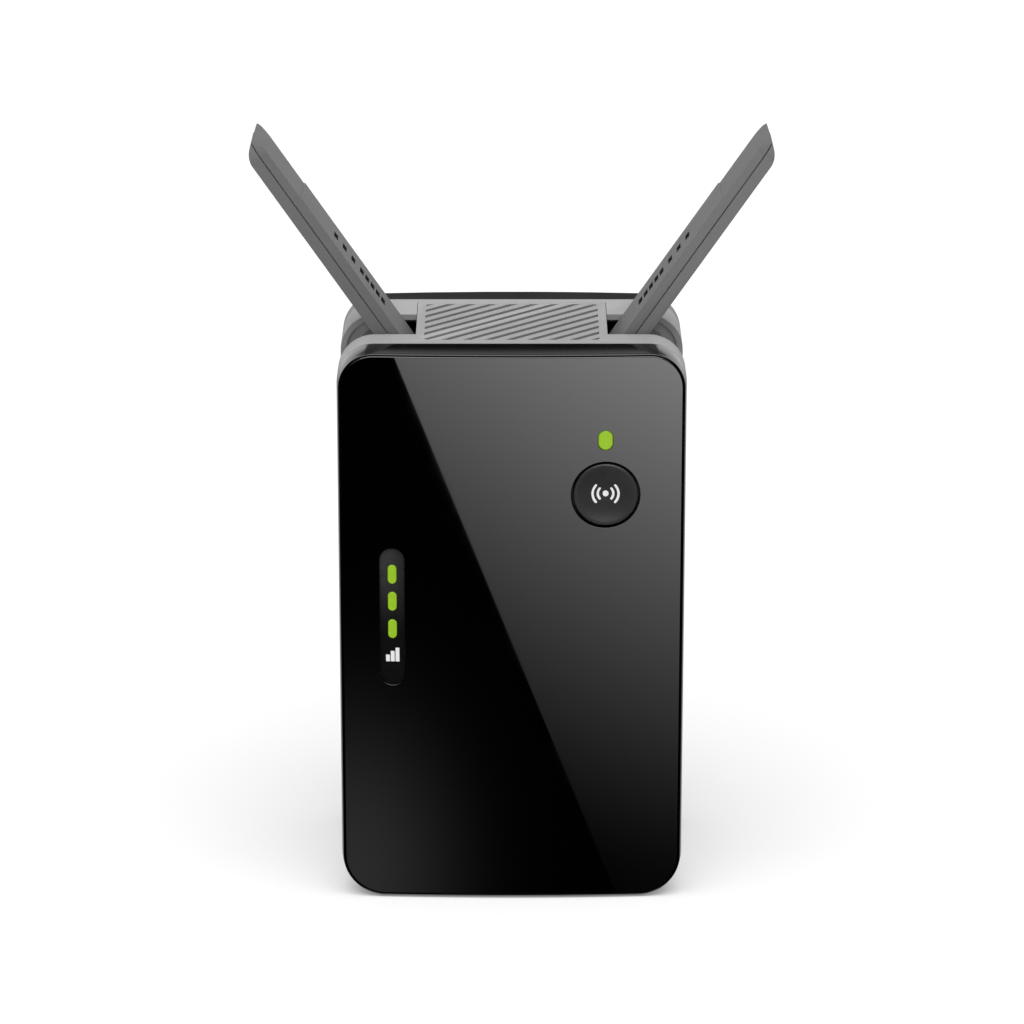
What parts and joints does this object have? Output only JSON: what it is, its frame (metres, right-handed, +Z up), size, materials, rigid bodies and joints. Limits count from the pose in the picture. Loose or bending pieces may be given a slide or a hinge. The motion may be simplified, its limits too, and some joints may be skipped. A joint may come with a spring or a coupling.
{
  "type": "wifi range extender",
  "caption": "Plug-in wifi range extender: upright rounded box with gloss front, status lights, round pairing button, vent grille and folding blade antennas.",
  "frame": {"origin": "middle of the plug base face that rests on the wall outlet", "axes": "+Z up along the case height, +X to the right seen from the front, -Y out of the front face, so the plug blades point along +Y"},
  "size_m": [0.0904, 0.0589, 0.1363],
  "materials": {
    "panel_gloss": "mirror gloss",
    "shell_gloss_black": "gloss",
    "case_grey": "fine matte texture",
    "antenna_grey": "fine matte texture",
    "matte_black": "matte",
    "plug_metal": "nickel plated",
    "window_black": "satin",
    "symbol_white": "printed",
    "light_green": "translucent, lit",
    "led_lens": "clear",
    "button_gloss": "gloss",
    "button_white": "matte",
    "board_green": "solder mask",
    "chip_black": "matte",
    "pad_grey": "soft",
    "sink_aluminium": "extruded",
    "shield_steel": "tinned",
    "jack_black": "satin",
    "contact_gold": "gold flashed",
    "cable_black": "satin",
    "ferrite": "sintered",
    "winding_tape": "taped",
    "capacitor_sleeve": "shrink sleeve",
    "fuse_sleeve": "satin",
    "capacitor_blue": "dipped",
    "sheet_clear": "thin film",
    "hinge_steel": "turned",
    "screw_steel": "black zinc",
    "label_silver": "blank label stock"
  },
  "bodies": {
    "case": {"antenna_cable_left": "cable_black", "antenna_cable_right": "cable_black", "board_link_pins": "contact_gold", "board_link_socket": "matte_black", "board_screws": "screw_steel", "bridge_rectifier": "chip_black", "bulk_capacitors": "capacitor_sleeve", "case_screws": "screw_steel", "coax_sockets": "contact_gold", "crystal": "shield_steel", "flash_chip": "chip_black", "friction_washer_left": "hinge_steel", "friction_washer_right": "hinge_steel", "front_bezel": "shell_gloss_black", "front_housing": "case_grey", "front_panel": "panel_gloss", "fuse": "fuse_sleeve", "heat_sink": "sink_aluminium", "hinge_sleeve_left": "hinge_steel", "hinge_sleeve_right": "hinge_steel", "indicator_leds": "led_lens", "insulation_sheet": "sheet_clear", "lan_contacts": "contact_gold", "lan_jack": "jack_black", "lan_magnetics": "chip_black", "light_shield": "matte_black", "line_choke": "ferrite", "main_board": "board_green", "memory_chip": "chip_black", "output_capacitors": "capacitor_sleeve", "pair_switch": "matte_black", "plug_base": "matte_black", "plug_blade_left": "plug_metal", "plug_blade_right": "plug_metal", "power_board": "board_green", "processor": "chip_black", "radio_shields": "shield_steel", "rating_label": "label_silver", "rear_cover": "shell_gloss_black", "rear_housing": "case_grey", "reset_switch": "matte_black", "safety_capacitor": "capacitor_blue", "signal_bars": "symbol_white", "signal_light_pipes": "light_green", "signal_window": "window_black", "status_light_pipe": "light_green", "thermal_pad": "pad_grey", "transformer_core": "ferrite", "transformer_winding": "winding_tape"},
    "antenna_left": {"antenna_left_body": "antenna_grey", "antenna_left_cover": "antenna_grey", "antenna_left_radiator": "board_green"},
    "antenna_right": {"antenna_right_body": "antenna_grey", "antenna_right_cover": "antenna_grey", "antenna_right_radiator": "board_green"},
    "pair_button": {"pair_button_cap": "button_gloss", "pair_button_symbol": "symbol_white", "pair_switch_plunger": "matte_black"},
    "reset_button": {"reset_plunger": "button_white"}
  },
  "joints": [
    {"name": "antenna_left_fold", "type": "hinge", "parent": "case", "child": "antenna_left", "pos_m": [-0.0236, -0.0233, 0.04465], "axis": [0, -1, 0], "range_deg": [0, 145.4]},
    {"name": "antenna_right_fold", "type": "hinge", "parent": "case", "child": "antenna_right", "pos_m": [0.0236, -0.0233, 0.04465], "axis": [0, 1, 0], "range_deg": [0, 145.4]},
    {"name": "pair_button_press", "type": "slide", "parent": "case", "child": "pair_button", "axis": [0, 1, 0], "range_m": [0, 0.0005], "stiffness_N_per_m": 800, "springref_m": -0.0005},
    {"name": "reset_press", "type": "slide", "parent": "case", "child": "reset_button", "axis": [0, 0, 1], "range_m": [0, 0.00025], "stiffness_N_per_m": 800, "springref_m": -0.0005}
  ]
}
